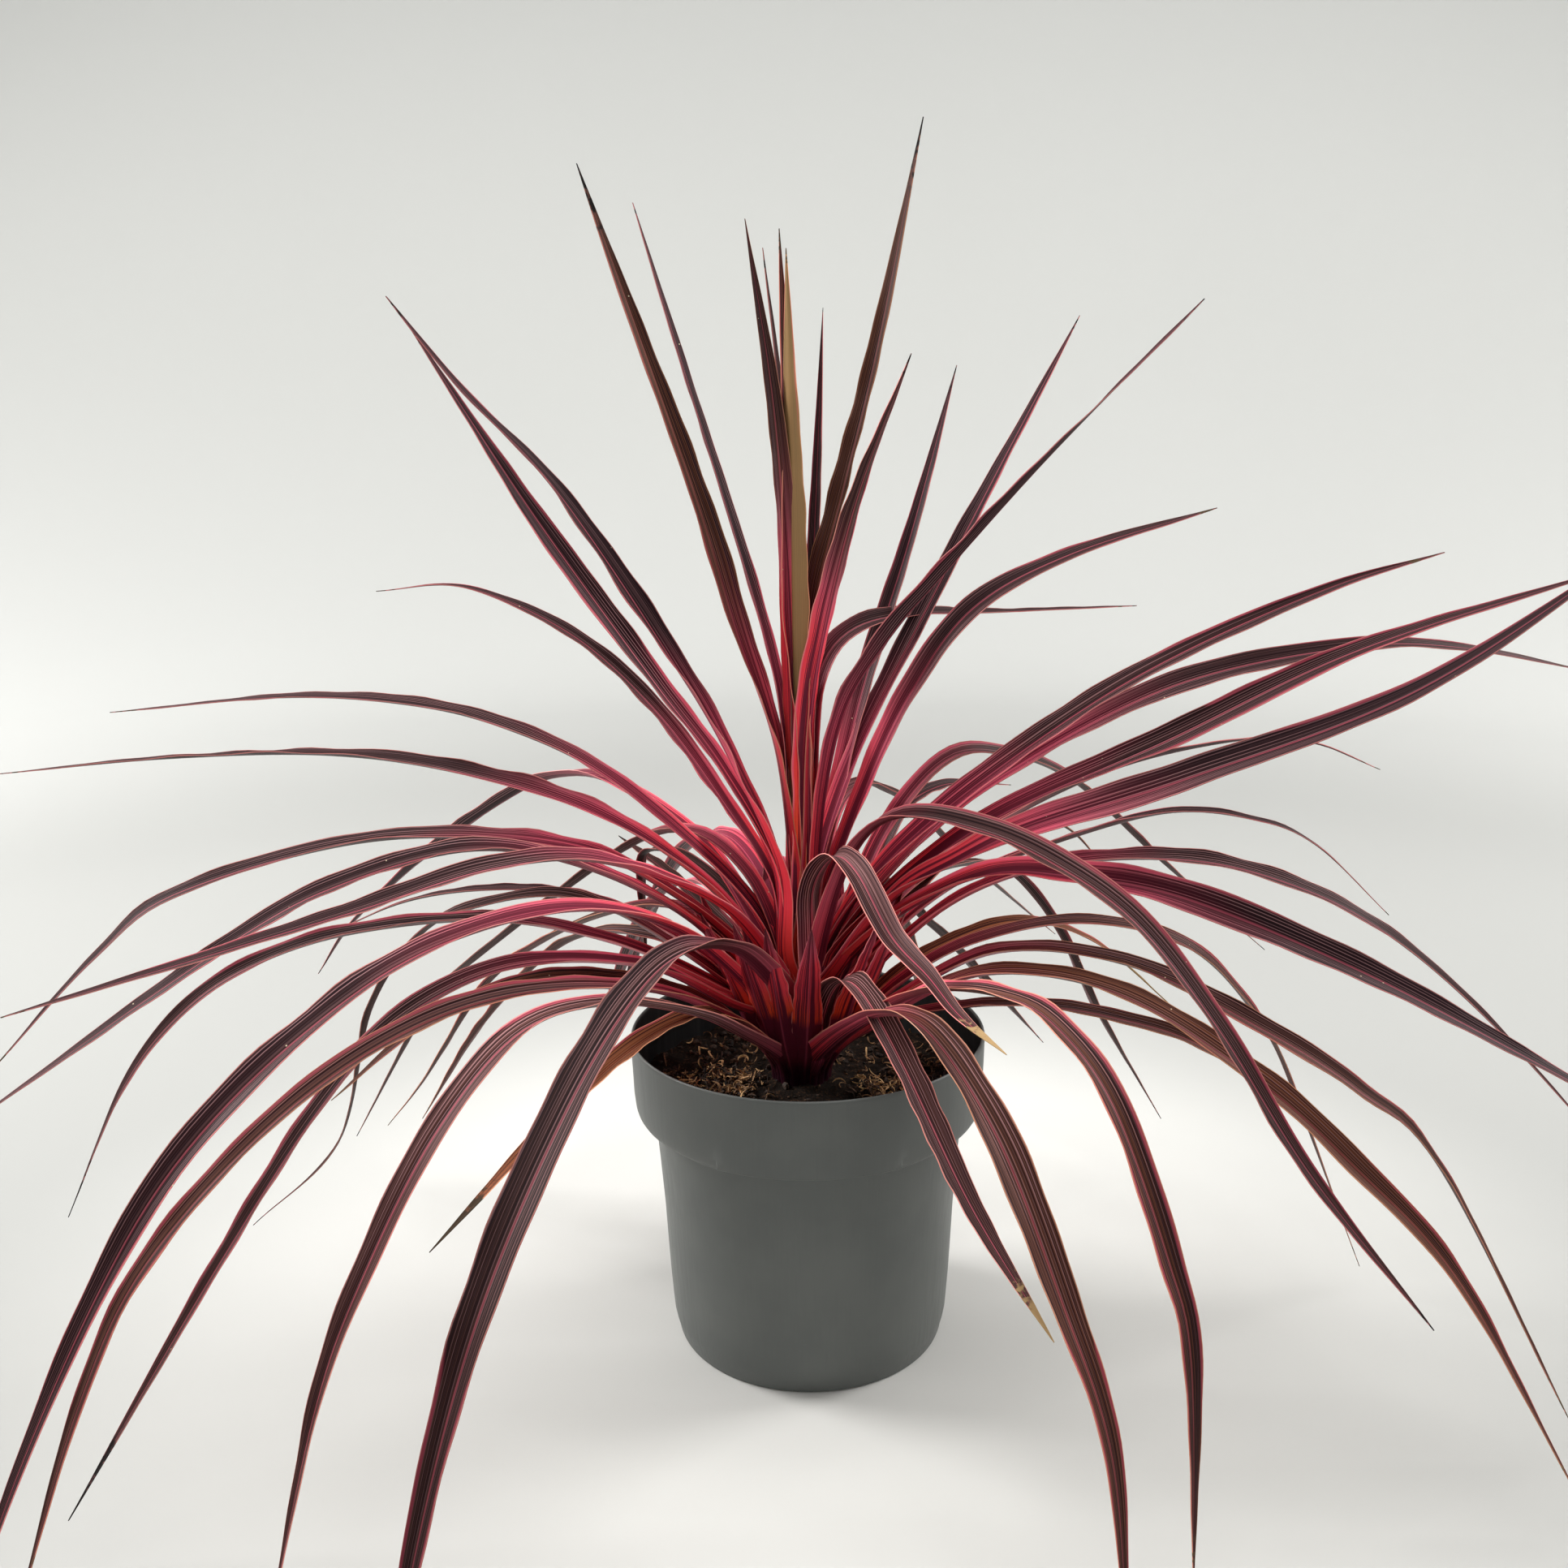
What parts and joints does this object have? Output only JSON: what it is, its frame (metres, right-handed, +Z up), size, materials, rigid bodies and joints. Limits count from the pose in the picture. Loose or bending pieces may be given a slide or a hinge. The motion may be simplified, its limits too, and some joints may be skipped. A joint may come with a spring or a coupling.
{
  "type": "potted cordyline",
  "caption": "Potted foliage plant: a dense rosette of long, narrow, arching sword-shaped leaves on a short stem, set in potting compost in a round tapered nursery pot with a deep rim band.",
  "frame": {"origin": "centre of the pot's flat base, on the surface that the pot stands on", "axes": "+Z up along the pot's axis; -Y is the pot's front, where the rim band has its tab; +X is to the viewer's right when facing the front"},
  "size_m": [1.2655, 1.0141, 0.9541],
  "materials": {
    "pot": "matte",
    "soil": "matte",
    "stem": "matte",
    "heart_leaf": "satin",
    "upper_leaf": "satin",
    "middle_leaf": "satin",
    "lower_leaf": "satin",
    "outer_leaf": "satin"
  },
  "bodies": {
    "root": {"pot": "pot", "soil": "soil", "stem": "stem", "heart_leaves": "heart_leaf", "upper_leaves": "upper_leaf", "middle_leaves": "middle_leaf", "lower_leaves": "lower_leaf", "outer_leaves": "outer_leaf"}
  },
  "joints": []
}
